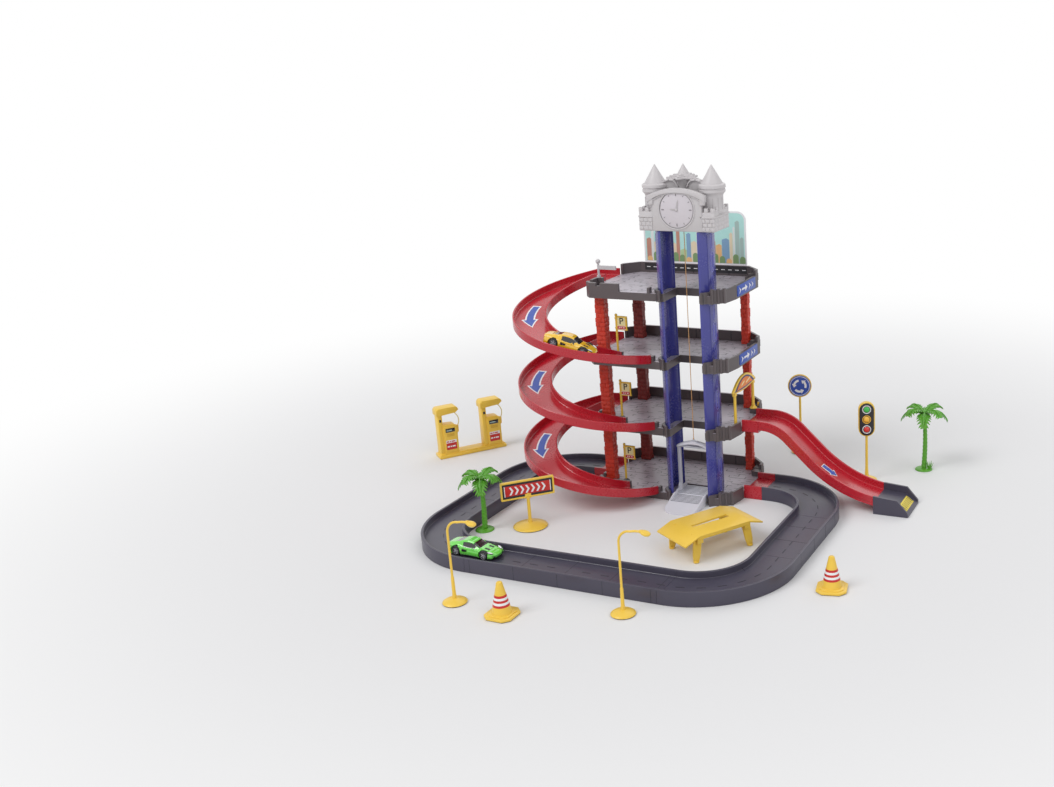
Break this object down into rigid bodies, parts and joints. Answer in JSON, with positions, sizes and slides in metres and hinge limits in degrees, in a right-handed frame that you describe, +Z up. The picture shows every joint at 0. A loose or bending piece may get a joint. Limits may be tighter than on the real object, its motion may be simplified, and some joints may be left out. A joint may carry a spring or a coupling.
{
  "type": "toy parking garage",
  "caption": "Toy parking garage with storey decks, spiral ramps, a crank lift in a castle-topped tower, a slide, a road loop, street signs and toy cars.",
  "frame": {"origin": "on the table under the middle of the ground deck", "axes": "+X to the right along the garage's front, +Y to the back, +Z up"},
  "size_m": [0.7396, 0.6202, 0.4401],
  "materials": {
    "deck_plastic": "satin",
    "tower_plastic": "gloss",
    "column_plastic": "satin",
    "ramp_plastic": "gloss",
    "road_plastic": "satin",
    "head_plastic": "satin",
    "lift_plastic": "satin",
    "cord": "twisted",
    "card": "printed",
    "yellow_plastic": "satin",
    "palm_plastic": "satin",
    "car_yellow_paint": "gloss",
    "car_green_paint": "gloss",
    "wheel_rubber": "matte"
  },
  "bodies": {
    "garage": {"deck_ground": "deck_plastic", "deck_level_1": "deck_plastic", "deck_level_2": "deck_plastic", "deck_top": "deck_plastic", "tower_left_1": "tower_plastic", "tower_left_2": "tower_plastic", "tower_left_3": "tower_plastic", "tower_left_4": "tower_plastic", "tower_right_1": "tower_plastic", "tower_right_2": "tower_plastic", "tower_right_3": "tower_plastic", "tower_right_4": "tower_plastic", "column_front_left_1": "column_plastic", "column_rear_left_1": "column_plastic", "column_rear_right_1": "column_plastic", "column_front_left_2": "column_plastic", "column_rear_left_2": "column_plastic", "column_rear_right_2": "column_plastic", "column_front_left_3": "column_plastic", "column_rear_left_3": "column_plastic", "column_rear_right_3": "column_plastic", "spiral_ramp_lower": "ramp_plastic", "spiral_ramp_middle": "ramp_plastic", "spiral_ramp_upper": "ramp_plastic", "road_connector_left": "ramp_plastic", "road_rear_curve_left": "road_plastic", "road_side_straight_left": "road_plastic", "road_front_curve_left": "road_plastic", "road_front_straight_left": "road_plastic", "road_connector_right": "ramp_plastic", "road_rear_curve_right": "road_plastic", "road_side_straight_right": "road_plastic", "road_front_curve_right": "road_plastic", "road_front_straight_right": "road_plastic", "slide_start": "ramp_plastic", "slide_chute": "ramp_plastic", "slide_end": "road_plastic", "lift_entry_ramp": "lift_plastic", "lift_cord": "cord", "head": "head_plastic", "backdrop_card": "card", "street_lamp_left": "yellow_plastic", "street_lamp_right": "yellow_plastic", "traffic_cone": "yellow_plastic", "chevron_sign": "yellow_plastic", "roundabout_sign": "yellow_plastic", "traffic_light": "yellow_plastic", "petrol_pumps": "yellow_plastic", "slotted_bridge": "yellow_plastic", "palm_left": "palm_plastic", "palm_right": "palm_plastic", "yellow_car_body": "car_yellow_paint", "green_car_body": "car_green_paint"},
    "lift": {"lift_car": "lift_plastic"},
    "winch": {"lift_drum": "head_plastic", "lift_crank": "head_plastic"},
    "yellow_car_front_axle": {"yellow_car_front_wheels": "wheel_rubber"},
    "yellow_car_rear_axle": {"yellow_car_rear_wheels": "wheel_rubber"},
    "green_car_front_axle": {"green_car_front_wheels": "wheel_rubber"},
    "green_car_rear_axle": {"green_car_rear_wheels": "wheel_rubber"}
  },
  "joints": [
    {"name": "lift_slide", "type": "slide", "parent": "garage", "child": "lift", "axis": [0, 0, 1], "range_m": [0, 0.27], "deforming": ["lift_cord"]},
    {"name": "winch_turn", "type": "hinge", "parent": "garage", "child": "winch", "pos_m": [0.03195, -0.0475, 0.3725], "axis": [0, 1, 0], "range_deg": [-2011, 0]},
    {"name": "yellow_car_front_spin", "type": "hinge", "parent": "garage", "child": "yellow_car_front_axle", "pos_m": [-0.06812, -0.12493, 0.21802], "axis": [-0.1908, 0.9816, 0], "continuous": true},
    {"name": "yellow_car_rear_spin", "type": "hinge", "parent": "garage", "child": "yellow_car_rear_axle", "pos_m": [-0.10593, -0.13228, 0.22881], "axis": [-0.1908, 0.9816, 0], "continuous": true},
    {"name": "green_car_front_spin", "type": "hinge", "parent": "garage", "child": "green_car_front_axle", "pos_m": [-0.10853, -0.31455, 0.0163], "axis": [0.0523, 0.9986, 0], "continuous": true},
    {"name": "green_car_rear_spin", "type": "hinge", "parent": "garage", "child": "green_car_rear_axle", "pos_m": [-0.14847, -0.31245, 0.0163], "axis": [0.0523, 0.9986, 0], "continuous": true}
  ],
  "couplings": [
    {"joint": "winch_turn", "follows": "lift_slide", "rad_per_m": -129.87}
  ]
}
